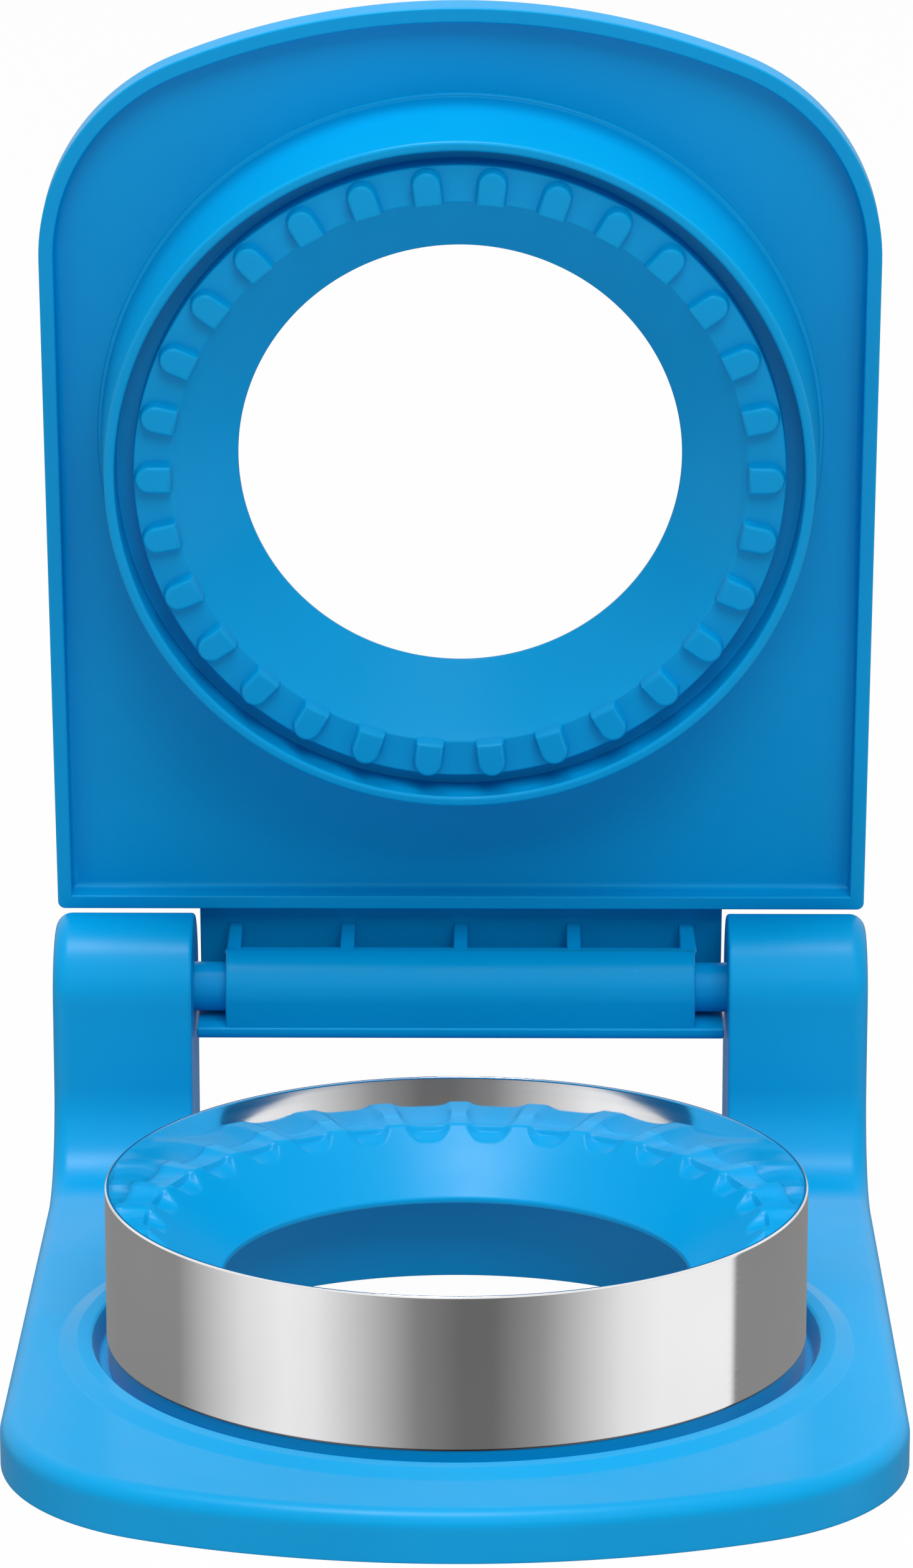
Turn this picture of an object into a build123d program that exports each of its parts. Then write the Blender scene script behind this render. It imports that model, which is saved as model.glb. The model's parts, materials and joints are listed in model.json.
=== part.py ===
from build123d import *
import os
from math import atan2, cos, degrees, radians, sin, sqrt

# Sandwich cutter and sealer, in millimetres, +Z up, front toward -Y.
# The origin is the centre of the footprint on the surface that the press stands on.

# Plan outline, shared by the base plate and the lid: straight sides, round front corners, bowed front
half_width = 56.7
front_reach = 62.1        # cutter axis to the front edge
corner_radius = 30.0
front_radius = 99.5

# Hinge
axis_reach = 78.4         # cutter axis back to the hinge axis
axis_height = 30.4
post_radius = 10.3        # round top of a post, and half its depth
post_inner = 37.3         # half of the space between the posts
post_foot = 12.0          # sweep of a post's front face into the plate
pin_radius = 3.45
pin_running_fit = 0.05
pin_grip = 9.0            # length of a pin inside the hinge bar
pin_recess = 0.4          # pin end below a post's outer face
rest_angle = 80.5         # how far the lid stands open

# Base
wall = 2.2
plate_height = 6.5
edge_bevel = 1.3
bead_rise = 0.8           # low ring round the well
bead_flat = 2.0
bead_slope = 2.2
well_depth = 3.0          # from the top of the bead
well_draft = 0.9
rib_thickness = 1.4
rib_count = 8
rib_lift = 0.8            # ribs stay clear of the standing surface
pin_boss = 3.0            # solid plastic left under a pin bore

# Steel cutter ring
ring_radius = 45.0
ring_wall = 0.5
ring_height = 19.8
ring_bevel = 0.2
well_gap = 1.94           # ring to the wall of the well
ring_fit = 0.04           # die inside the ring
ring_seat = 0.35          # width of the shoulder that the ring stands on

# Lower die
die_foot = 3.6            # height of the shoulder above the floor of the well
die_drop = 5.0            # crimp face below the ring's edge
die_wall = 2.36
crimp_band = 5.5          # ring's outer face to where the crimp face turns into the funnel
funnel_run = 9.4          # from there to the funnel's narrow end
lip_face = 1.0
lower_funnel = 7.4        # height of the funnel
lower_thick = 3.0         # plastic under the crimp face
floor_gap = 0.2           # spigot above the standing surface
clip_fit = 0.1            # spigot in its hole, and lugs under the floor
ledge_width = 1.35        # floor of the well under the die's wall

# Crimp pattern, the same count in both dies so that pads meet hollows
crimp_count = 30
crest_inset = 3.2         # ring's outer face to the low crest where the troughs of a groove meet
crest_depth = 0.5
trough_radius = 4.4
trough_sides = 12
outer_tilt = 18.0         # trough that deepens toward the steel
inner_tilt = 14.0         # trough that deepens toward the funnel and runs out in it

# Clips that hold each die
lug_count = 4
lug_width = 9.0
lug_reach = 0.9
lug_height = 0.9
lug_room = 0.2

# Lid shell
skirt_wall = 2.0
lid_depth = 3.2           # floor behind the skirt's rim
lid_floor = 2.3
lid_bevel = 1.2
lid_rear = 9.0            # hinge axis to the lid's rear edge
rim_height = 6.3          # skirt rim above the hinge axis when closed

# Hinge bar of the lid
bar_gap = 0.4             # bar to a post
bar_shelf = 4.5           # barrel end to a post
barrel_radius = 5.5
bar_back = 5.8            # back face of the bar behind the axis
bar_skin = 1.9
bar_round = 3.0
bar_edge = 1.2
web_thickness = 2.0
web_count = 5

# Upper die, heights out of the lid's hinge plane, so toward the base when closed
pad_level = 6.3
pad_height = 1.8
pad_width = 4.2
pad_length = 5.25
pad_end_sides = 8
pad_bevel = 0.4
pad_margin = 0.1          # foot of a pad inside the land's outer edge
land_gap = 0.55           # land inside the ring's inner face
land_width = 5.05
land_chamfer = 0.9
collar_gap = 1.4          # collar outside the ring
collar_wall = 1.4
collar_rise = 0.2         # collar rim above the pads
collar_draft = 1.2        # how much thicker the collar is at its foot
collar_ledge = 2.0        # foot of the collar on the lid's floor, round the spigot
groove_depth = 5.2
upper_thick = 1.8         # plastic behind the land and the groove
funnel_end = 3.6          # funnel's narrow end, outside the hinge plane
spigot_wall = 1.4
spigot_recess = 0.2       # spigot's end below the lid's outer face

tilt = radians(rest_angle)
lid_under = -rim_height - lid_depth
lid_outer = lid_under - lid_floor
bar_overhang = (bar_back - bar_round) * cos(tilt) - (lid_outer + bar_round) * sin(tilt) + bar_round
depth = front_reach + axis_reach + max(post_radius, bar_overhang)
cutter_y = front_reach - depth / 2
axis_y = cutter_y + axis_reach
crimp_pitch = 360 / crimp_count
crimp_start = 90 + crimp_pitch / 2

well_radius = ring_radius + well_gap
bead_top = plate_height + bead_rise
well_floor = bead_top - well_depth
shoulder_height = well_floor + die_foot
ring_top = shoulder_height + ring_height
crimp_height = ring_top - die_drop
die_radius = ring_radius - ring_wall - ring_fit
foot_radius = ring_radius - ring_wall + ring_seat
hole_radius = foot_radius - ledge_width + clip_fit
die_face_inner = ring_radius - crimp_band
lip_radius = die_face_inner - funnel_run
lip_height = crimp_height - lower_funnel
crest_radius = ring_radius - crest_inset
floor_under = well_floor - wall
plate_under = plate_height - wall
plate_reach = axis_reach + post_radius
post_width = half_width - post_inner
core_top = axis_height - pin_radius - pin_boss
lower_spigot = hole_radius - clip_fit

land_radius = ring_radius - ring_wall - land_gap
land_inner = land_radius - land_width
pad_end = land_radius - pad_margin - pad_width / 2
pad_inner = land_radius - pad_margin - pad_length
collar_radius = ring_radius + collar_gap
collar_foot = collar_radius + collar_wall + collar_draft
spigot_radius = collar_foot - collar_ledge
land_level = pad_level - pad_height
collar_level = pad_level + collar_rise
groove_level = collar_level - groove_depth
bar_end = post_inner - bar_gap
barrel_end = post_inner - bar_shelf
lid_reach = axis_reach - lid_rear
lid_hole = spigot_radius + clip_fit
bar_front = bar_skin - bar_back
pin_end = half_width - pin_recess

# Frames with the cutter's axis at the origin, front toward local +Y and the outline in local XY
open_out = (0, -sin(tilt), -cos(tilt))
hinge_frame = Plane(origin=(0, axis_y, axis_height), x_dir=(1, 0, 0), z_dir=open_out)
lid_frame = Plane(
    origin=hinge_frame.from_local_coords((0, axis_reach, 0)), x_dir=(1, 0, 0), z_dir=open_out
)
base_frame = Plane(origin=(0, cutter_y, 0), x_dir=(-1, 0, 0), z_dir=(0, 0, 1))
bar_plane = Plane(origin=hinge_frame.origin, x_dir=hinge_frame.y_dir, z_dir=(1, 0, 0))


def half_section(frame):
    """Plane through the cutter's axis, with local X as radius and local Y along the axis."""
    return Plane(origin=frame.origin, x_dir=frame.x_dir, z_dir=-frame.y_dir)


def outline(frame, rear, inset=0.0):
    """Plan shape of the plate or lid, drawn from the cutter's axis and moved inward by inset."""
    side_x = half_width - inset
    rear_y = inset - rear
    bow_y = front_reach - front_radius
    bend_x = half_width - corner_radius
    bend_y = bow_y + sqrt((front_radius - corner_radius) ** 2 - bend_x**2)
    bend_angle = degrees(atan2(bend_y - bow_y, bend_x))
    bend_radius = corner_radius - inset
    with BuildSketch(frame) as plan:
        with BuildLine():
            Line((-side_x, bend_y), (-side_x, rear_y))
            Line((-side_x, rear_y), (side_x, rear_y))
            Line((side_x, rear_y), (side_x, bend_y))
            CenterArc((bend_x, bend_y), bend_radius, 0, bend_angle)
            CenterArc((0, bow_y), front_radius - inset, bend_angle, 180 - 2 * bend_angle)
            CenterArc((-bend_x, bend_y), bend_radius, 180 - bend_angle, bend_angle)
        make_face()
    return plan.sketch


def turned(frame, points):
    """Sketch of a radius and height profile, ready to be revolved about the frame's axis."""
    with BuildSketch(half_section(frame)) as profile:
        with BuildLine():
            Polyline(*points, close=True)
        make_face()
    return profile.sketch


def turning_axis(frame):
    return Axis(frame.origin, frame.z_dir)


def lugs(frame, radius):
    """Short clips outside a spigot, spaced evenly round it."""
    with BuildSketch(frame) as clips:
        with PolarLocations(radius, lug_count, start_angle=180 / lug_count):
            Rectangle(2 * lug_reach, lug_width)
        Circle(radius - lug_reach / 2, mode=Mode.SUBTRACT)
        Circle(radius + lug_reach, mode=Mode.INTERSECT)
    return clips.sketch


def disc(frame, radius, centre=(0, 0)):
    """Round sketch for a hole or a bore."""
    with BuildSketch(frame) as round_sketch:
        with Locations(centre):
            Circle(radius)
    return round_sketch.sketch


def post_side(plane, inset=0.0, top=None):
    """Side view of a post with its swept foot, moved inward by inset; flat-topped when top is given."""
    front = axis_y - post_radius + inset
    back = axis_y + post_radius - inset
    sweep_y = axis_y - post_radius - post_foot
    sweep_z = plate_height + post_foot
    head_z = axis_height if top is None else top
    with BuildSketch(plane) as side:
        with BuildLine():
            Line((sweep_y, 0), (sweep_y, plate_height - inset))
            CenterArc((sweep_y, sweep_z), post_foot + inset, 270, 90)
            Line((front, sweep_z), (front, head_z))
            if top is None:
                CenterArc((axis_y, axis_height), post_radius, 180, -180)
            else:
                Line((front, head_z), (back, head_z))
            Line((back, head_z), (back, 0))
            Line((back, 0), (sweep_y, 0))
        make_face()
    return side.sketch


def save(piece, name):
    """Label a finished piece and write it to its own file."""
    piece.part.label = name
    export_step(piece.part, f"parts/{name}.step")


os.makedirs("parts", exist_ok=True)

# Base: plate and posts with one soft outer edge, hollow below, with the well hanging in the plate
with BuildPart() as base:
    extrude(outline(base_frame, plate_reach), amount=plate_height)
    for start_x in (post_inner, -half_width):
        extrude(post_side(Plane.YZ.offset(start_x)), amount=post_width)
    upper_edges = base.edges().filter_by(lambda e: e.center().Z > rib_lift)
    flanks = upper_edges.filter_by(lambda e: abs(abs(e.center().X) - half_width) < 0.01)
    seams = flanks.filter_by(Axis.Z).filter_by(lambda e: e.center().Z < plate_height)
    seams = seams.filter_by(lambda e: e.center().Y < cutter_y)
    bows = upper_edges.filter_by(GeomType.CIRCLE).filter_by(lambda e: abs(e.center().Z - plate_height) < 0.01)
    chamfer(flanks - seams + bows, edge_bevel)

    extrude(outline(base_frame, plate_reach, wall), amount=plate_under, mode=Mode.SUBTRACT)
    for start_x in (post_inner, -half_width):
        core = post_side(Plane.YZ.offset(start_x + wall), wall, core_top)
        extrude(core, amount=post_width - 2 * wall, mode=Mode.SUBTRACT)
    with BuildSketch(base_frame.offset(rib_lift)) as ribs:
        with PolarLocations(plate_reach / 2, rib_count):
            Rectangle(plate_reach, rib_thickness)
    rib_area = ribs.sketch & outline(base_frame.offset(rib_lift), plate_reach, wall / 2)
    extrude(rib_area, amount=plate_under - rib_lift)

    extrude(disc(base_frame, well_radius + wall / 2), amount=bead_top, mode=Mode.SUBTRACT)
    revolve(
        turned(
            base_frame,
            [
                (hole_radius, floor_under),
                (hole_radius, well_floor),
                (well_radius - well_draft, well_floor),
                (well_radius, bead_top),
                (well_radius + bead_flat, bead_top),
                (well_radius + bead_flat + bead_slope, plate_height),
                (well_radius + bead_flat, plate_under),
                (well_radius + wall, plate_under),
                (well_radius + wall, floor_under),
            ],
        ),
        axis=turning_axis(base_frame),
    )
    bore = disc(Plane.YZ.offset(-half_width), pin_radius + pin_running_fit, (axis_y, axis_height))
    extrude(bore, amount=2 * half_width, mode=Mode.SUBTRACT)

# Cutter for one half of a crimp groove, a many-sided rod
with BuildPart() as rod:
    with BuildSketch():
        RegularPolygon(trough_radius, trough_sides, rotation=180 / trough_sides)
    extrude(amount=2 * trough_radius, both=True)
trough = rod.part

# Lower die: crimp face and funnel on a round wall, with a spigot through the floor of the well
with BuildPart(base_frame.offset(crimp_height)) as lower_die:
    revolve(
        turned(
            base_frame,
            [
                (lower_spigot, floor_gap),
                (lower_spigot, well_floor),
                (foot_radius, well_floor),
                (foot_radius, shoulder_height),
                (die_radius, shoulder_height),
                (die_radius, crimp_height),
                (die_face_inner, crimp_height),
                (lip_radius, lip_height),
                (lip_radius, lip_height - lip_face),
                (die_face_inner, crimp_height - lower_thick),
                (die_radius - die_wall, crimp_height - lower_thick),
                (die_radius - die_wall, floor_gap),
            ],
        ),
        axis=turning_axis(base_frame),
    )
    lug_level = floor_under - clip_fit - lug_height
    extrude(lugs(base_frame.offset(lug_level), lower_spigot), amount=lug_height)
    with PolarLocations(crest_radius, crimp_count, start_angle=crimp_start):
        for slope in (90 + outer_tilt, 90 - inner_tilt):
            with Locations((0, 0, trough_radius - crest_depth)):
                add(trough, rotation=(0, slope, 0), mode=Mode.SUBTRACT)

# Cutter ring: a thin steel band that stands on the die's shoulder, sharpened from outside
with BuildPart() as cutter_ring:
    with BuildSketch(base_frame.offset(shoulder_height)):
        Circle(ring_radius)
        Circle(ring_radius - ring_wall, mode=Mode.SUBTRACT)
    extrude(amount=ring_height)
    top_edges = cutter_ring.edges().group_by(Axis.Z)[-1]
    chamfer(top_edges.sort_by(SortBy.LENGTH)[-1], ring_bevel)

# Lid: shallow shell with its hinge bar, modelled where it stands open
with BuildPart() as lid:
    extrude(outline(lid_frame.offset(lid_outer), lid_reach), amount=lid_floor + lid_depth)
    with BuildSketch(bar_plane.offset(-bar_end)) as bar_side:
        with BuildLine():
            Line((lid_rear + skirt_wall / 2, lid_outer), (bar_round - bar_back, lid_outer))
            CenterArc((bar_round - bar_back, lid_outer + bar_round), bar_round, 270, -90)
            Line((-bar_back, lid_outer + bar_round), (-bar_back, barrel_radius - bar_edge))
            CenterArc((bar_edge - bar_back, barrel_radius - bar_edge), bar_edge, 180, -90)
            Line((bar_edge - bar_back, barrel_radius), (bar_front, barrel_radius))
            Line((bar_front, barrel_radius), (bar_front, lid_under))
            Line((bar_front, lid_under), (lid_rear + skirt_wall / 2, lid_under))
            Line((lid_rear + skirt_wall / 2, lid_under), (lid_rear + skirt_wall / 2, lid_outer))
        make_face()
    extrude(amount=2 * bar_end)
    outer_edges = lid.edges().filter_by(
        lambda e: abs(lid_frame.to_local_coords(e.center()).Z - lid_outer) < 0.01
    )
    bar_sides = outer_edges.filter_by(lambda e: abs(abs(e.center().X) - bar_end) < 0.01)
    behind = outer_edges.filter_by(lambda e: lid_frame.to_local_coords(e.center()).Y < -lid_reach - 0.01)
    chamfer(outer_edges - bar_sides - behind, lid_bevel)
    extrude(
        outline(lid_frame.offset(lid_under), lid_reach, skirt_wall),
        amount=lid_depth,
        mode=Mode.SUBTRACT,
    )
    with BuildSketch(bar_plane.offset(-barrel_end)):
        Circle(barrel_radius)
        with Locations((bar_front / 2, 0)):
            Rectangle(-bar_front, 2 * barrel_radius)
    extrude(amount=2 * barrel_end)
    web_step = (2 * barrel_end - web_thickness) / (web_count - 1)
    for web in range(web_count):
        with BuildSketch(bar_plane.offset(web * web_step - barrel_end)):
            with Locations((bar_front, lid_under)):
                Rectangle(-bar_front + barrel_radius, -lid_under, align=(Align.MIN, Align.MIN))
        extrude(amount=web_thickness)
    for start_x in (barrel_end - pin_grip, -barrel_end):
        extrude(disc(bar_plane.offset(start_x), pin_radius), amount=pin_grip, mode=Mode.SUBTRACT)
    extrude(disc(lid_frame.offset(lid_outer), lid_hole), amount=lid_floor, mode=Mode.SUBTRACT)
    lug_pocket = disc(lid_frame.offset(lid_outer), spigot_radius + lug_reach + lug_room)
    extrude(lug_pocket, amount=lug_height + lug_room, mode=Mode.SUBTRACT)

# Upper die: collar, groove for the steel edge, padded land and funnel, clipped through the lid's floor
with BuildPart() as upper_die:
    revolve(
        turned(
            lid_frame,
            [
                (spigot_radius, lid_outer + spigot_recess),
                (spigot_radius, lid_under),
                (collar_foot, lid_under),
                (collar_radius + collar_wall, collar_level),
                (collar_radius, collar_level),
                (collar_radius, groove_level),
                (land_radius, groove_level),
                (land_radius, land_level),
                (land_inner, land_level),
                (land_inner - land_chamfer, land_level - land_chamfer),
                (lip_radius, -funnel_end),
                (lip_radius, -funnel_end - lip_face),
                (land_inner, land_level - upper_thick),
                (land_radius - upper_thick, land_level - upper_thick),
                (land_radius - upper_thick, groove_level - upper_thick),
                (spigot_radius - spigot_wall, groove_level - upper_thick),
                (spigot_radius - spigot_wall, lid_outer + spigot_recess),
            ],
        ),
        axis=turning_axis(lid_frame),
    )
    with BuildSketch(lid_frame.offset(land_level)):
        with PolarLocations((pad_inner + pad_end) / 2, crimp_count, start_angle=crimp_start):
            Rectangle(pad_end - pad_inner, pad_width)
        with PolarLocations(pad_end, crimp_count, start_angle=crimp_start):
            RegularPolygon(pad_width / 2, pad_end_sides, major_radius=False, rotation=180 / pad_end_sides)
    extrude(amount=pad_height)
    pad_edges = upper_die.edges().filter_by(
        lambda e: abs(lid_frame.to_local_coords(e.center()).Z - pad_level) < 0.01
    )
    chamfer(pad_edges, pad_bevel)
    extrude(lugs(lid_frame.offset(lid_outer + spigot_recess), spigot_radius), amount=lug_height)

save(base, "base")
save(lower_die, "lower_die")
save(cutter_ring, "cutter_ring")
save(lid, "lid")
save(upper_die, "upper_die")

# Hinge pins: gripped by the bar, turning in the posts
for side, start_x in (("left", -pin_end), ("right", barrel_end - pin_grip)):
    with BuildPart() as pin:
        extrude(disc(bar_plane.offset(start_x), pin_radius), amount=pin_end - barrel_end + pin_grip)
        chamfer(pin.edges().filter_by(GeomType.CIRCLE), pin_recess)
    save(pin, f"hinge_pin_{side}")
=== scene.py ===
import json
from math import atan2, cos, pi, radians, sin, sqrt, tan

import bmesh
import bpy
import numpy as np
from bpy.props import FloatProperty, FloatVectorProperty, IntProperty, PointerProperty
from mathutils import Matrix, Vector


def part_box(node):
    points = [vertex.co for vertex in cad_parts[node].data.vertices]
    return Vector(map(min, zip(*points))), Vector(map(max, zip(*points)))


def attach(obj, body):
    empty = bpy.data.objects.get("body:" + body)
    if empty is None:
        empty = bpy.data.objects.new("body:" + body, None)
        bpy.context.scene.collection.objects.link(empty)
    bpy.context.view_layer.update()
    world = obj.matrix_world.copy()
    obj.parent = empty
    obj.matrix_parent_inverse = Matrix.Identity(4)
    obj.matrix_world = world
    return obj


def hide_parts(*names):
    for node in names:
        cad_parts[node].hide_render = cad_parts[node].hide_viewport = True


bl_info = {
    "name": "Sandwich press",
    "version": (1, 0, 0),
    "blender": (4, 5, 0),
    "location": "3D View > Sidebar > Sandwich press",
    "description": "Builds a hinged sandwich cutter and sealer over its packed model",
    "category": "Object",
}

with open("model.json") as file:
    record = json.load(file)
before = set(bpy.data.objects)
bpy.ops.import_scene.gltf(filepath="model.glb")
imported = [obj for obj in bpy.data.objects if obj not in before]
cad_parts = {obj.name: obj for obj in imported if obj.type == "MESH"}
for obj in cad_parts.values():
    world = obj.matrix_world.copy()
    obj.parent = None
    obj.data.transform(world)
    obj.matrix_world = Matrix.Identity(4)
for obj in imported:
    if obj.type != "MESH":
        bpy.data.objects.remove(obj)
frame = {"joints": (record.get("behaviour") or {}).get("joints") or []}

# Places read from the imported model, in metres
plate_low, plate_high = (np.array(corner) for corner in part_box("base"))
ring_low, ring_high = (np.array(corner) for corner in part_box("cutter_ring"))
die_low, die_high = (np.array(corner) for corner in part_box("lower_die"))
lid_hinge = frame["joints"][0]
hinge_point = np.array(lid_hinge["pos_m"])
open_angle = radians(-lid_hinge["range_deg"][0])
half_width = plate_high[0]
ring_radius = ring_high[0]
cutter_y = (ring_low[1] + ring_high[1]) / 2
axis_reach = hinge_point[1] - cutter_y
front_reach = cutter_y - plate_low[1]
post_radius = plate_high[2] - hinge_point[2]
shoulder_height = ring_low[2]
ring_top = ring_high[2]
crimp_height = die_high[2]
spigot_end = die_low[2]
mm = 0.001

# Columns of a surface turned about the cutter's axis, where it is mostly hidden and where it shows
plain_columns = 240
shown_columns = 360


def length(name, description, millimetres):
    """A size that the panel shows, with its default given in millimetres."""
    return FloatProperty(
        name=name, description=description, default=millimetres * mm, min=0.0, unit="LENGTH", precision=5
    )


def tint(name, description, colour):
    """A colour that the panel shows."""
    return FloatVectorProperty(
        name=name, description=description, default=colour, subtype="COLOR", min=0.0, max=1.0
    )


def tilt(name, description, degrees):
    """An angle that the panel shows, with its default given in degrees."""
    return FloatProperty(name=name, description=description, default=radians(degrees), subtype="ANGLE")


class PlateSizes(bpy.types.PropertyGroup):
    """Sizes of the base plate and of the outline that the lid shares with it."""

    corner_radius: length("Front corner radius", "Round front corners seen from above", 30.0)
    front_radius: length("Front bow radius", "Wide arc of the front edge seen from above", 99.5)
    plate_height: length("Plate height", "Standing surface to the flat top of the plate", 6.5)
    edge_round: length("Edge rounding", "Soft outer edge of the plate and posts", 2.2)
    wall: length("Wall", "Thickness of the moulded walls", 2.2)
    bead_rise: length("Bead rise", "Low ring round the well above the plate", 0.8)
    bead_flat: length("Bead flat", "Width of the flat top of the bead", 2.0)
    bead_slope: length("Bead slope", "Width of the bead's outer slope", 2.2)
    well_gap: length("Well gap", "Steel ring to the wall of the well", 1.94)
    well_depth: length("Well depth", "Top of the bead to the floor of the well", 3.0)
    well_draft: length("Well draft", "How much narrower the well is at its floor", 0.9)
    rib_thickness: length("Rib thickness", "Ribs under the plate", 1.4)
    rib_lift: length("Rib lift", "Ribs clear of the standing surface", 0.8)
    rib_count: IntProperty(name="Ribs", description="Ribs under the plate", default=8, min=3)


class PostSizes(bpy.types.PropertyGroup):
    """Sizes of the hinge posts, pins and bar."""

    post_inner: length("Half space", "Half of the space between the posts", 37.3)
    post_foot: length("Foot sweep", "Sweep of a post's front face into the plate", 12.0)
    inner_round: length("Inner edge", "Rounding of a post's inner edge", 0.5)
    pin_radius: length("Pin radius", "Hinge pin", 3.45)
    pin_fit: length("Pin fit", "Clearance of a pin in its post", 0.05)
    pin_grip: length("Pin grip", "Length of a pin inside the bar", 9.0)
    pin_recess: length("Pin recess", "Pin end below the post's outer face", 0.4)
    bar_gap: length("Bar gap", "Hinge bar to a post", 0.4)
    bar_shelf: length("Barrel shelf", "End of the barrel to a post", 4.5)
    barrel_radius: length("Barrel radius", "Round barrel on the pins", 5.5)
    bar_back: length("Bar back", "Back face of the bar behind the hinge axis", 5.8)
    bar_skin: length("Bar skin", "Thickness of the bar's back wall", 1.9)
    bar_round: length("Bar rounding", "Lower back edge of the bar", 3.0)
    bar_edge: length("Bar rim", "Free edge of the bar's back wall", 1.2)
    web_thickness: length("Web thickness", "Webs between the barrel and the bar", 2.0)
    web_count: IntProperty(name="Webs", description="Webs along the hinge bar", default=5, min=2)


class DieSizes(bpy.types.PropertyGroup):
    """Sizes of the two dies and the steel ring."""

    ring_wall: length("Ring wall", "Thickness of the steel ring", 0.5)
    ring_bevel: length("Ring bevel", "Sharpened edge of the steel ring", 0.2)
    ring_fit: length("Ring fit", "Lower die inside the steel ring", 0.01)
    ring_seat: length("Ring seat", "Width of the shoulder that the ring stands on", 0.35)
    ledge_width: length("Ledge", "Floor of the well under the die", 1.35)
    clip_fit: length("Clip fit", "Clearance of a die's spigot in its hole", 0.1)
    die_wall: length("Die wall", "Round wall of the lower die", 2.36)
    foot_top: length("Foot top", "Standing surface to the top of the die's foot", 3.0)
    crimp_band: length("Crimp band", "Outer face of the ring to where the funnel begins", 5.5)
    funnel_run: length("Funnel run", "Width of the funnel seen from above", 9.4)
    funnel_drop: length("Funnel drop", "Height of the lower funnel", 7.4)
    lip_face: length("Lip", "Upright face at the funnel's narrow end", 1.0)
    crimp_skin: length("Crimp skin", "Plastic under the crimp face", 3.0)
    crest_inset: length("Crest inset", "Outer face of the ring to the low crest in each groove", 4.8)
    crest_depth: length("Crest depth", "Low crest below the crimp face", 0.48)
    crest_step: length("Crest step", "Step down from the crest toward the funnel", 0.6)
    ridge_width: length("Ridge width", "Flat top left between two grooves", 2.1)
    groove_soft: length("Groove softness", "Rounding where a groove meets the face", 0.15)
    outer_tilt: tilt("Outer tilt", "Fall of a groove toward the steel", 9.5)
    inner_tilt: tilt("Inner tilt", "Fall of a groove toward the funnel", 14.0)
    crimp_count: IntProperty(name="Crimps", description="Grooves below and pads above", default=30, min=6)
    lug_count: IntProperty(name="Clips", description="Clips that hold each die", default=4, min=2)
    lug_width: length("Clip width", "Clips that hold each die", 9.0)
    lug_reach: length("Clip reach", "How far a clip stands out", 0.9)
    lug_height: length("Clip height", "Clips that hold each die", 0.9)


class LidSizes(bpy.types.PropertyGroup):
    """Sizes of the lid shell and of the padded die in it, with heights toward the base when closed."""

    skirt_wall: length("Skirt wall", "Rim round the lid", 2.0)
    lid_depth: length("Lid depth", "Rim to the lid's inner floor", 3.2)
    lid_floor: length("Lid floor", "Thickness of the lid's floor", 2.3)
    lid_round: length("Lid rounding", "Outer edge of the lid", 2.1)
    lid_rear: length("Lid rear", "Hinge axis to the lid's rear edge", 9.0)
    rear_corner: length("Rear corner", "Small rear corners of the lid seen from above", 1.0)
    rim_height: length("Rim height", "Lid rim above the hinge axis when closed", 6.3)
    pad_level: length("Pad level", "Top of the pads below the hinge axis when closed", 6.3)
    pad_height: length("Pad height", "Pads above their land", 1.8)
    pad_width: length("Pad width", "Across a pad", 4.2)
    pad_length: length("Pad length", "Along a pad", 5.25)
    pad_round: length("Pad rounding", "Soft upper edge of a pad", 0.5)
    pad_draft: length("Pad draft", "How much narrower a pad is at its top, on each side", 0.3)
    pad_margin: length("Pad margin", "Pad inside the land's outer edge", 0.1)
    land_gap: length("Land gap", "Land inside the ring's inner face", 0.55)
    land_width: length("Land width", "Flat that carries the pads", 5.05)
    land_chamfer: length("Land chamfer", "Inner edge of the land", 0.9)
    collar_gap: length("Collar gap", "Collar outside the ring", 1.4)
    collar_wall: length("Collar wall", "Rim of the collar", 1.4)
    collar_rise: length("Collar rise", "Collar rim above the pads", 0.2)
    collar_draft: length("Collar draft", "How much thicker the collar is at its foot", 1.2)
    collar_ledge: length("Collar ledge", "Foot of the collar on the lid's floor", 2.0)
    flange_width: length("Flange width", "Thin edge of the die round the collar's foot", 0.6)
    flange_height: length("Flange height", "Thin edge of the die round the collar's foot", 0.5)
    groove_depth: length("Groove depth", "Groove for the steel edge", 5.2)
    die_skin: length("Die skin", "Plastic behind the land and groove", 1.8)
    funnel_end: length("Funnel end", "Narrow end of the upper funnel beyond the hinge plane", 3.6)
    spigot_wall: length("Spigot wall", "Wall that stands in the lid's hole", 1.4)
    spigot_recess: length("Spigot recess", "Spigot's end below the lid's outer face", 0.2)
    lug_room: length("Clip room", "Clearance round the clips", 0.2)


class FinishColours(bpy.types.PropertyGroup):
    """Colours of the finishes."""

    plastic: tint("Plastic", "Satin blue moulded plastic", (0.0, 0.325, 0.68))
    steel: tint("Steel", "Polished steel band", (0.86, 0.86, 0.87))
    floor: tint("Floor", "Plain floor", (0.6, 0.6, 0.6))


class PressSettings(bpy.types.PropertyGroup):
    """All sizes and colours of the press."""

    plate: PointerProperty(type=PlateSizes)
    post: PointerProperty(type=PostSizes)
    die: PointerProperty(type=DieSizes)
    lid: PointerProperty(type=LidSizes)
    colour: PointerProperty(type=FinishColours)


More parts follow.
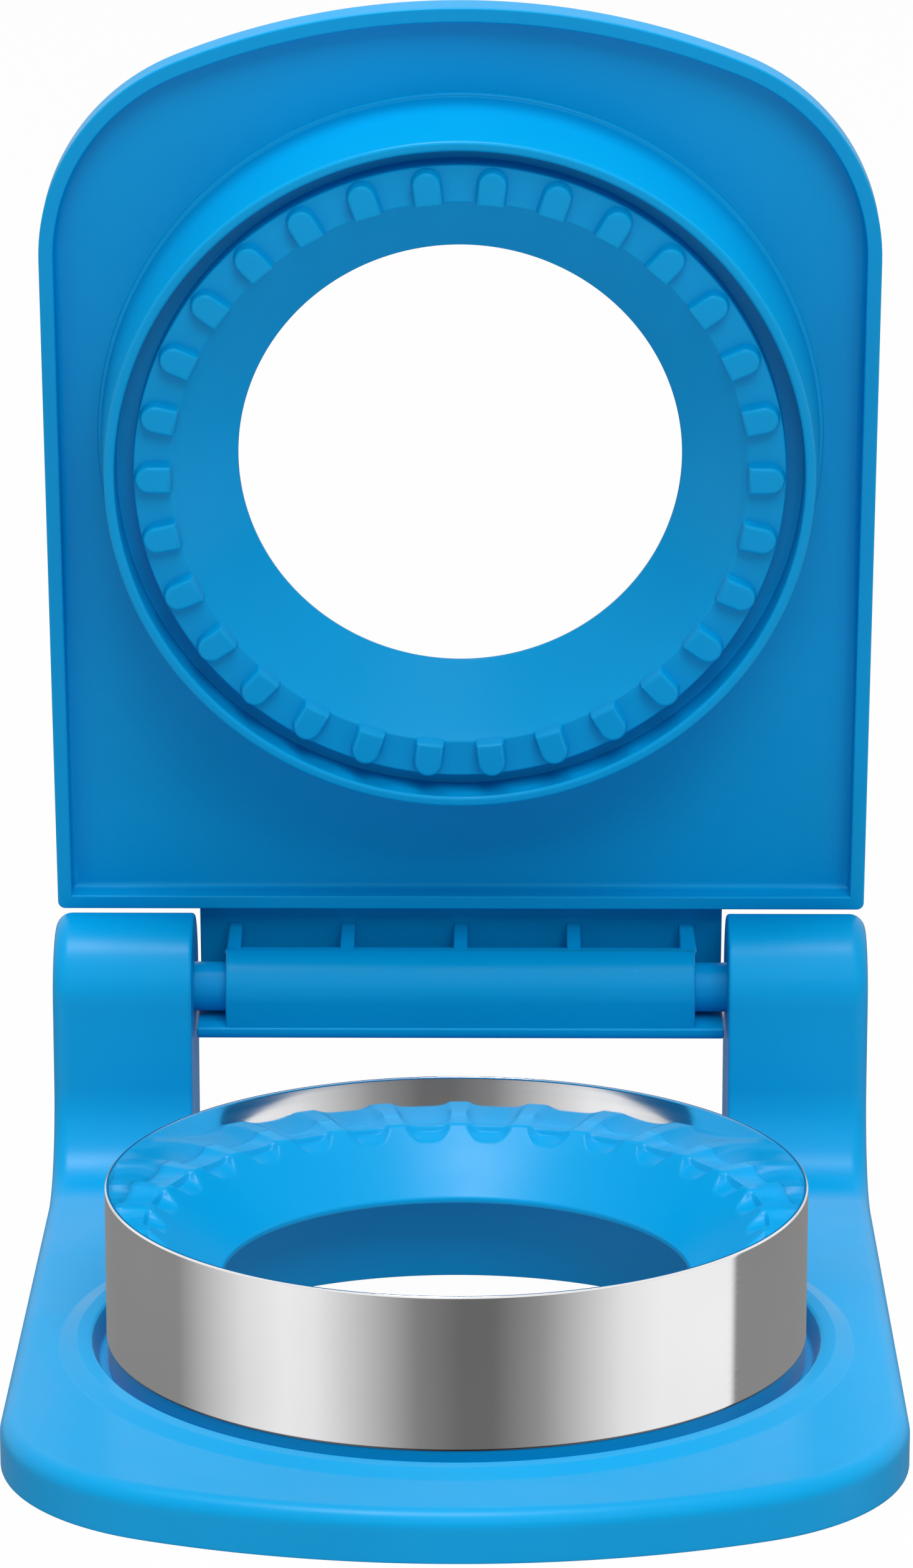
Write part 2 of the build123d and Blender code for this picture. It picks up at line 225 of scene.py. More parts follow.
def rounded(corners, steps=8):
    """Path through corners of (along, up, radius), with each corner swept by an arc of that radius.

    The arc touches both neighbouring edges; its points are centre + radius * (cos a, sin a). One more
    point lies close before and after each arc, so that the flat beside it is shaded flat.
    """
    widest_strip = 0.25 * mm
    places = np.array([corner[:2] for corner in corners])
    radii = np.array([corner[2] for corner in corners])
    radii[[0, -1]] = 0
    run = np.diff(places, axis=0)
    lengths = np.hypot(*run.T)
    heading = np.unwrap(np.arctan2(run[:, 1], run[:, 0]))
    bend = np.concatenate([[0], np.diff(heading), [0]])
    tangent = radii * np.abs(np.tan(bend / 2))
    guard = np.clip((lengths - tangent[:-1] - tangent[1:]) / 3, 0, widest_strip)
    way = run / lengths[:, None]
    path = [places[:1]]
    for place in range(1, len(corners) - 1):
        corner, before, after = places[place], way[place - 1], way[place]
        if radii[place] == 0:
            path.append(corner[None])
            continue
        first = corner - before * tangent[place]
        last = corner + after * tangent[place]
        side = np.sign(bend[place])
        centre = first + side * radii[place] * np.array([-before[1], before[0]])
        angle = heading[place - 1] - side * pi / 2 + np.linspace(0, bend[place], steps + 1)
        arc = centre + radii[place] * np.stack([np.cos(angle), np.sin(angle)], axis=1)
        path += [(first - before * guard[place - 1])[None], arc, (last + after * guard[place])[None]]
    path.append(places[-1:])
    return np.concatenate(path)


def rounded_loop(corners, steps=8):
    """Closed path of corners, each with its own radius, that starts and ends on its first edge."""
    start = (np.array(corners[0][:2]) + np.array(corners[-1][:2])) / 2
    middle = (start[0], start[1], 0)
    return rounded([middle, *corners, middle], steps)[:-1]


def soft_least(first, second, softness):
    """Smooth minimum of two heights.

    It is the lower of the two, blended by a parabola where they differ by less than softness.
    """
    share = np.clip(0.5 + 0.5 * (second - first) / softness, 0, 1)
    return second * (1 - share) + first * share - softness * share * (1 - share)


def on_base(x, forward, height):
    """Points of the base: forward is toward the viewer from the cutter's axis, height is above the floor."""
    return np.stack(np.broadcast_arrays(x, cutter_y - forward, height), axis=-1)


def on_lid(x, forward, height):
    """Points of the open lid, from the closed lid's x, forward and height toward the base.

    They are turned about the hinge by the open angle a: with reach the distance ahead of the hinge, y is
    the hinge's less reach cos a + height sin a, and z is the hinge's plus reach sin a - height cos a.
    """
    reach = forward + axis_reach
    y = hinge_point[1] - reach * cos(open_angle) - height * sin(open_angle)
    z = hinge_point[2] + reach * sin(open_angle) - height * cos(open_angle)
    return np.stack(np.broadcast_arrays(x, y, z), axis=-1)


def turned(path, columns):
    """Path of radius and height turned about the cutter's axis.

    At each angle a round the axis, x = r cos a, forward = r sin a and the height stays.
    """
    angle = np.linspace(0, 2 * pi, columns, endpoint=False)
    radius, height = path[:, :1], path[:, 1:]
    return radius * np.cos(angle), radius * np.sin(angle), height


def surface(points, rows_close=True, columns_close=True):
    """Corner points and four-sided faces of a grid of points, as arrays.

    A side that closes has its last line joined to its first.
    """
    rows, columns = points.shape[:2]
    index = np.arange(rows * columns).reshape(rows, columns)
    if rows_close:
        index = np.vstack([index, index[:1]])
    if columns_close:
        index = np.hstack([index, index[:, :1]])
    quads = np.stack([index[:-1, :-1], index[1:, :-1], index[1:, 1:], index[:-1, 1:]], axis=-1)
    return points.reshape(-1, 3), [quads.reshape(-1, 4)]


def prism(loop, place, low, high):
    """Straight bar of one section with flat ends: the loop carried from x = low to x = high."""
    ends = np.array([low, high])
    points = place(ends[:, None], loop[:, 0], loop[:, 1])
    corners, faces = surface(points, rows_close=False)
    around = np.arange(len(loop))
    return corners, [*faces, around[None], around[None] + len(loop)]


def curved_block(place, radii, heights, middle, half_angle, columns=12):
    """Block bent round the cutter's axis between two radii and two heights, at a middle angle.

    Its four edges run along (r cos a, r sin a), with a within half_angle of the middle.
    """
    angle = np.linspace(middle - half_angle, middle + half_angle, columns)
    radius = np.array([radii[0], radii[1], radii[1], radii[0]])[:, None]
    height = np.array([heights[0], heights[0], heights[1], heights[1]])[:, None]
    points = place(radius * np.cos(angle), radius * np.sin(angle), height)
    corners, faces = surface(points, columns_close=False)
    ends = np.arange(4)[None] * columns
    return corners, [*faces, ends, ends + columns - 1]


def add_piece(name, surfaces, body, nodes, material):
    """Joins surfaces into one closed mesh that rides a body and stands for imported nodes."""
    weld_distance = 1e-7
    sharp_angle = radians(35)
    corners, loops, starts, offset, used = [], [], [], 0, 0
    for points, groups in surfaces:
        corners.append(points)
        for faces in groups:
            loops.append((faces + offset).ravel())
            starts.append(used + np.arange(len(faces)) * faces.shape[1])
            used += faces.size
        offset += len(points)
    mesh = bpy.data.meshes.new(name)
    mesh.vertices.add(offset)
    mesh.vertices.foreach_set("co", np.concatenate(corners).ravel())
    mesh.loops.add(used)
    mesh.loops.foreach_set("vertex_index", np.concatenate(loops))
    mesh.polygons.add(sum(len(start) for start in starts))
    mesh.polygons.foreach_set("loop_start", np.concatenate(starts))
    mesh.update(calc_edges=True)
    mesh.validate()

    shell = bmesh.new()
    shell.from_mesh(mesh)
    bmesh.ops.remove_doubles(shell, verts=shell.verts, dist=weld_distance)
    bmesh.ops.dissolve_degenerate(shell, edges=shell.edges, dist=weld_distance)
    bmesh.ops.recalc_face_normals(shell, faces=shell.faces)
    shell.to_mesh(mesh)
    shell.free()
    mesh.shade_smooth()
    mesh.set_sharp_from_angle(angle=sharp_angle)
    mesh.materials.append(material)
    piece = bpy.data.objects.new(name, mesh)
    bpy.context.scene.collection.objects.link(piece)
    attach(piece, body)
    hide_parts(*nodes)
    return piece


def add_plastic_piece(settings, name, surfaces, body, *nodes):
    """Adds a piece of the moulded plastic."""
    return add_piece(name, surfaces, body, nodes, moulded_plastic(settings))


def add_bevel(piece, width, segments=3, sharpest=40):
    """Rounds the edges of straight pieces that bend by more than an angle in degrees."""
    bevel = piece.modifiers.new("Soft edges", "BEVEL")
    bevel.width = width
    bevel.segments = segments
    bevel.limit_method = "ANGLE"
    bevel.angle_limit = radians(sharpest)
    bevel.harden_normals = True


def outline(plate, rear, inset, rear_corner=0.0, sides=24, bends=28, bow=72, corner=8, back=40):
    """Plan outline of the plate or lid moved inward by inset, as columns of (x, forward).

    Straight sides, round front corners of one radius, a wide front bow tangent to them and a straight
    rear edge. Each arc's points are centre + radius * (cos a, sin a).
    """
    inset = np.atleast_1d(inset)[:, None]
    bow_y = front_reach - plate.front_radius
    bend_x = half_width - plate.corner_radius
    bend_y = bow_y + sqrt((plate.front_radius - plate.corner_radius) ** 2 - bend_x**2)
    bend_angle = atan2(bend_y - bow_y, bend_x)
    rise = np.linspace(0, 1, sides)
    turn = np.linspace(0, bend_angle, bends)
    sweep = np.linspace(bend_angle, pi - bend_angle, bow)[1:-1]
    tuck = np.linspace(-pi / 2, 0, corner)
    across = np.linspace(-1, 1, back)[1:-1]
    small = np.maximum(rear_corner - inset, 0)
    reach = np.maximum(rear_corner, inset)
    corner_x = half_width - reach + small * np.cos(tuck)
    corner_y = reach - rear + small * np.sin(tuck)
    side_x = (half_width - inset) * np.ones_like(rise)
    side_y = (reach - rear) * (1 - rise) + bend_y * rise
    bend_xs = bend_x + (plate.corner_radius - inset) * np.cos(turn)
    bend_ys = bend_y + (plate.corner_radius - inset) * np.sin(turn)
    bow_xs = (plate.front_radius - inset) * np.cos(sweep)
    bow_ys = bow_y + (plate.front_radius - inset) * np.sin(sweep)
    right_x = np.hstack([corner_x, side_x[:, 1:], bend_xs[:, 1:]])
    right_y = np.hstack([corner_y, side_y[:, 1:], bend_ys[:, 1:]])
    back_x = (half_width - reach) * across
    back_y = (inset - rear) * np.ones_like(across)
    x = np.hstack([right_x, bow_xs, -right_x[:, ::-1], back_x])
    forward = np.hstack([right_y, bow_ys, right_y[:, ::-1], back_y])
    return x, forward


def circle_columns(x, forward, radius):
    """Circles (r cos a, r sin a) about the cutter's axis, with a the angle of each column of an outline."""
    angle = np.arctan2(forward, x)
    radius = np.atleast_1d(radius)[:, None]
    return radius * np.cos(angle), radius * np.sin(angle)


def sheet_with_hole(plate, rear, rear_corner, edge_path, hole_path, place):
    """Closed shell between an outline and a round hole.

    Rows follow edge_path, a path of (inset, height) carried round the outline, and then hole_path,
    a path of (radius, height) carried round the hole, and the last row joins the first.
    """
    x, forward = outline(plate, rear, edge_path[:, 0], rear_corner)
    round_x, round_forward = circle_columns(x[-1], forward[-1], hole_path[:, 0])
    height = np.concatenate([edge_path[:, 1], hole_path[:, 1]])[:, None]
    return surface(place(np.vstack([x, round_x]), np.vstack([forward, round_forward]), height))


def die_radii(die):
    """Radii of the lower die: its face in the ring, foot in the well, spigot in the hole, and inside."""
    face_radius = ring_radius - die.ring_wall - die.ring_fit
    foot_radius = ring_radius - die.ring_wall + die.ring_seat
    return face_radius, foot_radius, foot_radius - die.ledge_width, face_radius - die.die_wall


def well_floor_height(plate):
    """Height of the floor of the well, on which the lower die stands."""
    return plate.plate_height + plate.bead_rise - plate.well_depth


def base_plate_surfaces(settings):
    """Plate with its soft edge, the bead, the well with its hole, the hollow underside and the ribs.

    Two paths give the section: one of inset and height carried round the outline, and one of radius and
    height carried round the well. Each rib is a straight bar from the well to the outline.
    """
    plate, die = settings.plate, settings.die
    rear = axis_reach + post_radius
    under = plate.plate_height - plate.wall
    bead_top = plate.plate_height + plate.bead_rise
    well_radius = ring_radius + plate.well_gap
    well_floor = well_floor_height(plate)
    floor_under = well_floor - plate.wall
    well_outside = well_radius + plate.wall
    hole = die_radii(die)[2] + die.clip_fit
    margin = 1.2 * mm
    foot_edge = 0.3 * mm
    skirt_fillet = 0.7 * mm
    edge_path = rounded(
        [
            (plate.wall + margin, under, 0),
            (plate.wall, under, skirt_fillet),
            (plate.wall, 0, foot_edge),
            (0, 0, foot_edge),
            (0, plate.plate_height, plate.edge_round),
            (plate.edge_round + margin, plate.plate_height, 0),
        ],
        steps=10,
    )
    bead_foot = well_radius + plate.bead_flat + plate.bead_slope
    bead_foot_bend = 1.2 * mm
    bead_bend = 0.9 * mm
    well_edge = 0.45 * mm
    well_fillet = 0.5 * mm
    hole_edge = 0.15 * mm
    under_fillet = 0.4 * mm
    hole_path = rounded(
        [
            (bead_foot + margin, plate.plate_height, 0),
            (bead_foot, plate.plate_height, bead_foot_bend),
            (bead_foot - plate.bead_slope, bead_top, bead_bend),
            (well_radius, bead_top, well_edge),
            (well_radius - plate.well_draft, well_floor, well_fillet),
            (hole, well_floor, hole_edge),
            (hole, floor_under, hole_edge),
            (well_outside, floor_under, under_fillet),
            (well_outside, under, under_fillet),
            (well_outside + margin, under, 0),
        ]
    )
    shell = sheet_with_hole(plate, rear, plate.edge_round, edge_path, hole_path, on_base)

    # Each rib reaches from the wall of the well to the middle of the outer wall
    x, forward = outline(plate, rear, plate.wall / 2)
    angle = np.arctan2(forward[0], x[0])
    order = np.argsort(angle)
    distance = np.hypot(x[0], forward[0])[order]
    half = plate.rib_thickness / 2
    across = np.array([-half, half, half, -half])
    height = np.array([plate.rib_lift, plate.rib_lift, under + half, under + half])
    end_face = np.arange(4)[None]
    ribs = []
    for rib in range(plate.rib_count):
        turn = 2 * pi * rib / plate.rib_count
        wrapped = atan2(sin(turn), cos(turn))
        end = np.interp(wrapped, angle[order], distance, period=2 * pi)
        along = np.array([well_outside - plate.wall / 2, end])[:, None]
        points = on_base(
            along * cos(turn) - across * sin(turn), along * sin(turn) + across * cos(turn), height
        )
        corners, faces = surface(points, rows_close=False)
        ribs.append((corners, [*faces, end_face, end_face + 4]))
    return [shell, *ribs]


def post_columns(settings, inset, foot=True):
    """Side outline of a post moved inward by inset, as columns of (y, z).

    Up the swept foot, up the front, over the round top, down the back and along the bottom.
    Without its foot the outline is the upright part alone, with as many columns.
    """
    plate, post = settings.plate, settings.post
    foot_columns, top_columns, bottom_columns = 24, 48, 24
    inset = np.atleast_1d(inset)[:, None]
    bottom = plate.plate_height - plate.edge_round
    centre_y, centre_z = hinge_point[1], hinge_point[2]
    front = centre_y - post_radius
    sweep_y = front - post.post_foot
    sweep_z = plate.plate_height + post.post_foot
    rise = np.linspace(0, 1, foot_columns)
    curl = np.linspace(-pi / 2, 0, foot_columns)
    top = np.linspace(pi, 0, top_columns)
    foot_y = sweep_y + (post.post_foot + inset) * np.cos(curl)
    foot_z = sweep_z + (post.post_foot + inset) * np.sin(curl)
    if not foot:
        foot_y = (front + inset) * np.ones_like(rise)
        foot_z = bottom + (sweep_z - bottom) * rise * np.ones_like(inset)
    top_y = centre_y + (post_radius - inset) * np.cos(top)
    top_z = centre_z + (post_radius - inset) * np.sin(top)
    start_y = foot_y[:, :1]
    back_y = centre_y + post_radius - inset
    floor_z = bottom * np.ones_like(inset)
    along = np.linspace(0, 1, bottom_columns + 2)[1:-1]
    base_y = back_y + (start_y - back_y) * along
    base_z = floor_z * np.ones_like(along)
    y = np.hstack([start_y, foot_y, top_y, back_y, base_y])
    z = np.hstack([floor_z, foot_z, top_z, floor_z, base_z])
    return y, np.maximum(z, bottom)


def post_surfaces(settings):
    """Two hinge posts: the side outline carried across, soft on the outside, with a bore for the pin.

    The outline moves inward along a path of (x, inset), and ends in circles (r cos a, r sin a) at the bore.
    """
    plate, post = settings.plate, settings.post
    small = post.inner_round
    soft = plate.edge_round
    across = rounded(
        [
            (post.post_inner, soft + small, 0),
            (post.post_inner, 0, small),
            (half_width, 0, soft),
            (half_width, soft + small, 0),
        ],
        steps=10,
    )
    y, z = post_columns(settings, across[:, 1])
    face_y, face_z = post_columns(settings, soft + small, foot=False)
    angle = np.arctan2(face_z - hinge_point[2], face_y - hinge_point[1])
    bore = post.pin_radius + post.pin_fit
    edge = 0.2 * mm
    radii = np.array([bore, bore + edge])[:, None]
    ring_y = hinge_point[1] + radii * np.cos(angle)
    ring_z = hinge_point[2] + radii * np.sin(angle)
    ys = np.vstack([ring_y, face_y, y, face_y, ring_y[::-1]])
    zs = np.vstack([ring_z, face_z, z, face_z, ring_z[::-1]])
    inner, outer = post.post_inner, half_width
    xs = np.concatenate([[inner + edge, inner, inner], across[:, 0], [outer, outer, outer - edge]])[:, None]
    return [surface(np.stack(np.broadcast_arrays(side * xs, ys, zs), axis=-1)) for side in (1, -1)]


def crimp_face_surfaces(settings):
    """Crimp face and funnel, turned about the cutter's axis, with a flat-bottomed groove in each crimp.

    A groove's height is top - depth(r) (1 - (w / half)^4), where w is the distance from its middle line
    and half is half its width. depth(r) grows from a low crest both ways, with a soft step beside the
    crest on the funnel's side. The face is the smooth minimum of the plain profile and that height.
    """
    die = settings.die
    face_radius = die_radii(die)[0]
    throat = ring_radius - die.crimp_band
    lip = throat - die.funnel_run
    lip_height = crimp_height - die.funnel_drop
    under = crimp_height - die.crimp_skin
    face_edge = 0.03 * mm
    throat_bend = 1.2 * mm
    lip_edge = 0.6 * mm
    lip_under = 0.3 * mm
    under_fillet = 0.5 * mm
    path = rounded(
        [
            (face_radius, under, 0),
            (face_radius, crimp_height, face_edge),
            (throat, crimp_height, throat_bend),
            (lip, lip_height, lip_edge),
            (lip, lip_height - die.lip_face, lip_under),
            (throat, under, under_fillet),
            (face_radius, under, 0),
        ],
        steps=5,
    )

    # Rows lie close together from a little below the face's outer edge to a little way down the funnel
    row_gap = 0.2 * mm
    below_edge = 1.6 * mm
    beyond_band = 6.5 * mm
    step = np.hypot(*np.diff(path, axis=0).T)
    travelled = np.concatenate([[0], np.cumsum(step)])
    close_start = die.crimp_skin - below_edge
    close_end = close_start + die.crimp_band + beyond_band
    stations = np.union1d(travelled, np.arange(close_start, close_end, row_gap))
    path = np.stack([np.interp(stations, travelled, path[:, side]) for side in (0, 1)], axis=1)

    columns_each = 28
    columns = columns_each * die.crimp_count
    x, forward, height = turned(path, columns)
    radius = path[:, :1]
    pitch = 2 * pi / die.crimp_count
    angle = np.linspace(0, 2 * pi, columns, endpoint=False)
    off_middle = (angle - pi / 2) % pitch - pitch / 2
    sideways = radius * np.sin(off_middle)
    half = (pitch * radius - die.ridge_width) / 2
    from_crest = radius - (ring_radius - die.crest_inset)
    fall = np.where(from_crest > 0, from_crest * tan(die.outer_tilt), -from_crest * tan(die.inner_tilt))
    step_run = 3 * row_gap
    share = np.clip(-from_crest / step_run, 0, 1)
    step_down = die.crest_step * share**2 * (3 - 2 * share)
    depth = die.crest_depth + fall + step_down
    groove = crimp_height - depth * (1 - (sideways / half) ** 4)
    height = soft_least(height, groove, die.groove_soft)
    return [surface(on_base(x, forward, height), rows_close=False)]


def die_wall_surfaces(settings):
    """Round wall under the crimp face with the shoulder that carries the ring, turned about its axis."""
    die = settings.die
    face_radius, foot_radius, spigot, inside = die_radii(die)
    well_floor = well_floor_height(settings.plate)
    top = crimp_height - die.crimp_skin
    edge = 0.2 * mm
    path = rounded_loop(
        [
            (inside, top, edge),
            (inside, die.foot_top, 0),
            (spigot, die.foot_top, 0),
            (spigot, well_floor, 0),
            (foot_radius, well_floor, edge),
            (foot_radius, shoulder_height, edge / 2),
            (face_radius, shoulder_height, 0),
            (face_radius, top, edge),
        ],
        steps=4,
    )
    return [surface(on_base(*turned(path, plain_columns)))]


def die_foot_surfaces(settings):
    """Foot of the round wall, turned about the cutter's axis, with the clips that hold it in the base."""
    plate, die = settings.plate, settings.die
    _, _, spigot, inside = die_radii(die)
    edge = 0.2 * mm
    path = rounded_loop(
        [
            (inside, die.foot_top, 0),
            (inside, spigot_end, edge),
            (spigot, spigot_end, edge),
            (spigot, die.foot_top, 0),
        ],
        steps=4,
    )
    clip_top = well_floor_height(plate) - plate.wall - die.clip_fit
    clips = clip_surfaces(die, on_base, spigot, (clip_top - die.lug_height, clip_top))
    return [surface(on_base(*turned(path, plain_columns))), *clips]


def clip_surfaces(die, place, radius, heights):
    """Short clips spaced evenly round a spigot, with the first half a space from the x axis."""
    pitch = 2 * pi / die.lug_count
    half_angle = die.lug_width / 2 / radius
    radii = (radius - die.lug_reach / 2, radius + die.lug_reach)
    middles = [pitch * (lug + 0.5) for lug in range(die.lug_count)]
    return [curved_block(place, radii, heights, middle, half_angle) for middle in middles]


def ring_surfaces(settings):
    """Thin steel band turned about the cutter's axis, bevelled outside at its upper edge."""
    die = settings.die
    inner = ring_radius - die.ring_wall
    small = 0.05 * mm
    path = rounded_loop(
        [
            (ring_radius, shoulder_height, small),
            (ring_radius, ring_top - die.ring_bevel, small),
            (ring_radius - die.ring_bevel, ring_top, small),
            (inner, ring_top, small),
            (inner, shoulder_height, small),
        ],
        steps=3,
    )
    return [surface(on_base(*turned(path, shown_columns)))]


def lid_levels(lid):
    """Levels of the lid's inner floor and of its outer face, from the hinge axis toward the base."""
    floor = -lid.rim_height - lid.lid_depth
    return floor, floor - lid.lid_floor


def spigot_radius(lid):
    """Radius of the upper die's spigot in the lid's hole."""
    return ring_radius + lid.collar_gap + lid.collar_wall + lid.collar_draft - lid.collar_ledge


def lid_surfaces(settings):
    """Shallow shell of the lid, round the hole that holds the upper die.

    One path of inset and level is carried round the outline, and one of radius and level round the hole.
    """
    plate, die, lid = settings.plate, settings.die, settings.lid
    floor, outer = lid_levels(lid)
    rear = axis_reach - lid.lid_rear
    margin = 1.0 * mm
    rim_edge = 0.25 * mm
    floor_fillet = 0.8 * mm
    edge_path = rounded(
        [
            (lid.lid_round + margin, outer, 0),
            (0, outer, lid.lid_round),
            (0, -lid.rim_height, rim_edge),
            (lid.skirt_wall, -lid.rim_height, rim_edge),
            (lid.skirt_wall, floor, floor_fillet),
            (lid.skirt_wall + 2 * margin, floor, 0),
        ],
        steps=10,
    )
    hole = spigot_radius(lid) + die.clip_fit
    pocket = spigot_radius(lid) + die.lug_reach + lid.lug_room
    pocket_floor = outer + die.lug_height + lid.lug_room
    edge = 0.15 * mm
    hole_path = rounded(
        [
            (pocket + margin, floor, 0),
            (hole, floor, edge),
            (hole, pocket_floor, edge),
            (pocket, pocket_floor, edge),
            (pocket, outer, edge),
            (pocket + margin, outer, 0),
        ]
    )
    return [sheet_with_hole(plate, rear, lid.rear_corner, edge_path, hole_path, on_lid)]


def hinge_place(x, ahead, height):
    """Points of the hinge bar: ahead is toward the lid from the hinge axis."""
    return on_lid(x, ahead - axis_reach, height)


def hinge_bar_surfaces(settings):
    """Bar behind the lid's rear edge: one angled wall, the barrel on the pins and the webs between them.

    Each is a section, with the barrel's a half circle (r cos a, r sin a), carried straight across.
    """
    post, lid = settings.post, settings.lid
    floor, outer = lid_levels(lid)
    bar_end = post.post_inner - post.bar_gap
    barrel_end = post.post_inner - post.bar_shelf
    front = post.bar_skin - post.bar_back
    join = lid.lid_rear + lid.lid_round
    small = 0.3 * mm
    inner_bend = 0.6 * mm
    wall = rounded_loop(
        [
            (join, outer, 0),
            (-post.bar_back, outer, post.bar_round),
            (-post.bar_back, post.barrel_radius, post.bar_edge),
            (front, post.barrel_radius, small),
            (front, floor, inner_bend),
            (join, floor, 0),
        ],
        steps=6,
    )
    barrel_columns = 25
    turn = np.linspace(-pi / 2, pi / 2, barrel_columns)
    barrel = post.barrel_radius * np.stack([np.cos(turn), np.sin(turn)], axis=1)
    inside = front - post.bar_skin / 2
    barrel = np.vstack([barrel, [[inside, post.barrel_radius - small], [inside, -post.barrel_radius]]])
    surfaces = [
        prism(wall, hinge_place, -bar_end, bar_end),
        prism(barrel, hinge_place, -barrel_end, barrel_end),
    ]
    step = (2 * barrel_end - post.web_thickness) / (post.web_count - 1)
    reach, drop = post.barrel_radius, floor - small
    web = np.array([[inside, drop], [reach, drop], [reach, 0], [inside, 0]])
    for number in range(post.web_count):
        low = number * step - barrel_end
        surfaces.append(prism(web, hinge_place, low, low + post.web_thickness))
    return surfaces


def pin_surfaces(settings):
    """Two hinge pins turned about the hinge axis: y = r cos a, z = r sin a along x."""
    post = settings.post
    inner = post.post_inner - post.bar_shelf - post.pin_grip
    outer = half_width - post.pin_recess
    inner_edge = 0.4 * mm
    outer_edge = 0.5 * mm
    path = rounded(
        [
            (inner, 0, 0),
            (inner, post.pin_radius, inner_edge),
            (outer, post.pin_radius, outer_edge),
            (outer, 0, 0),
        ],
        steps=5,
    )
    pin_columns = 64
    angle = np.linspace(0, 2 * pi, pin_columns, endpoint=False)
    radius = path[:, 1:]
    y = hinge_point[1] + radius * np.cos(angle)
    z = hinge_point[2] + radius * np.sin(angle)
    return [
        surface(np.stack(np.broadcast_arrays(side * path[:, :1], y, z), axis=-1), rows_close=False)
        for side in (-1, 1)
    ]


def upper_die_surfaces(settings):
    """Collar, groove for the steel edge, land and funnel, turned about the cutter's axis in the lid."""
    die, lid = settings.die, settings.lid
    floor, outer = lid_levels(lid)
    land = ring_radius - die.ring_wall - lid.land_gap
    land_inner = land - lid.land_width
    land_level = lid.pad_level - lid.pad_height
    collar = ring_radius + lid.collar_gap
    collar_level = lid.pad_level + lid.collar_rise
    groove = collar_level - lid.groove_depth
    foot = collar + lid.collar_wall + lid.collar_draft
    flange = foot + lid.flange_width
    flange_level = floor + lid.flange_height
    spigot = spigot_radius(lid)
    end = outer + lid.spigot_recess
    lip = ring_radius - die.crimp_band - die.funnel_run
    skin = lid.die_skin
    fine, small, soft = 0.2 * mm, 0.3 * mm, 0.5 * mm
    flange_edge = 0.45 * mm
    land_bend = 0.4 * mm
    funnel_bend = 0.8 * mm
    path = rounded_loop(
        [
            (spigot, floor, 0),
            (flange, floor, 0),
            (flange, flange_level, flange_edge),
            (foot, flange_level, fine),
            (collar + lid.collar_wall, collar_level, soft),
            (collar, collar_level, soft),
            (collar, groove, fine),
            (land, groove, fine),
            (land, land_level, small),
            (land_inner, land_level, land_bend),
            (land_inner - lid.land_chamfer, land_level - lid.land_chamfer, funnel_bend),
            (lip, -lid.funnel_end, soft),
            (lip, -lid.funnel_end - die.lip_face, small),
            (land_inner, land_level - skin, soft),
            (land - skin, land_level - skin, soft),
            (land - skin, groove - skin, soft),
            (spigot - lid.spigot_wall, groove - skin, soft),
            (spigot - lid.spigot_wall, end, fine),
            (spigot, end, fine),
        ]
    )
    shell = surface(on_lid(*turned(path, shown_columns)))
    clips = clip_surfaces(die, on_lid, spigot, (end, end + die.lug_height))
    return [shell, *clips]


def pad_surfaces(settings):
    """Crimp pads in a ring.

    A pad's outline is square inside, with small corners, and round outside, on an arc of half its width.
    It is moved inward along a path of inset and level, which drafts the side and rounds the upper edge,
    and the pad is turned about the cutter's axis to each of its places.
    """
    die, lid = settings.die, settings.lid
    land = ring_radius - die.ring_wall - lid.land_gap
    land_level = lid.pad_level - lid.pad_height
    half = lid.pad_width / 2
    outer = land - lid.pad_margin
    inner = outer - lid.pad_length
    sink = 0.2 * mm
    corner = 0.5 * mm
    top = lid.pad_level
    path = rounded(
        [(0, land_level - sink, 0), (lid.pad_draft, top, lid.pad_round), (half / 2, top, 0)], steps=6
    )
    end_columns, corner_columns = 19, 5
    inset = path[:, :1]
    end = np.linspace(-pi / 2, pi / 2, end_columns)
    end_r = outer - half + (half - inset) * np.cos(end)
    end_t = (half - inset) * np.sin(end)
    small = np.maximum(corner - inset, 0)
    reach = np.maximum(corner, inset)
    curl = np.linspace(pi / 2, pi, corner_columns)
    corner_r = inner + reach + small * np.cos(curl)
    corner_t = half - reach + small * np.sin(curl)
    along = np.hstack([end_r, corner_r, corner_r[:, ::-1]])
    sideways = np.hstack([end_t, corner_t, -corner_t[:, ::-1]])
    middle = np.full_like(along[:1], (inner + outer) / 2)
    along = np.vstack([middle, along, middle])
    sideways = np.vstack([0 * sideways[:1], sideways, 0 * sideways[:1]])
    height = np.concatenate([path[:1, 1], path[:, 1], path[-1:, 1]])[:, None]
    pitch = 2 * pi / die.crimp_count
    pads = []
    for number in range(die.crimp_count):
        turn = pi / 2 + pitch * (number + 0.5)
        x = along * cos(turn) - sideways * sin(turn)
        forward = along * sin(turn) + sideways * cos(turn)
        pads.append(surface(on_lid(x, forward, height), rows_close=False))
    return pads


def empty_tree(owner):
    """Node tree of a material or world, with nothing in it."""
    owner.use_nodes = True
    owner.node_tree.nodes.clear()
    return owner.node_tree


def add_node(tree, kind, inputs=(), **choices):
    """Adds a shader node with its choices, and gives its inputs a value or a link each."""
    node = tree.nodes.new("ShaderNode" + kind)
    for name, choice in choices.items():
        setattr(node, name, choice)
    for key, given in dict(inputs).items():
        if isinstance(given, bpy.types.NodeSocket):
            tree.links.new(given, node.inputs[key])
        else:
            node.inputs[key].default_value = given
    return node


def noise(tree, place, scale, detail):
    """Noise on the given coordinates."""
    return add_node(tree, "TexNoise", {"Vector": place, "Scale": scale, "Detail": detail}).outputs["Fac"]


def ranged(tree, source, given, wanted):
    """Maps a value from one range to another, and holds it at their ends."""
    keys = ("Value", "From Min", "From Max", "To Min", "To Max")
    return add_node(tree, "MapRange", zip(keys, (source, *given, *wanted))).outputs["Result"]


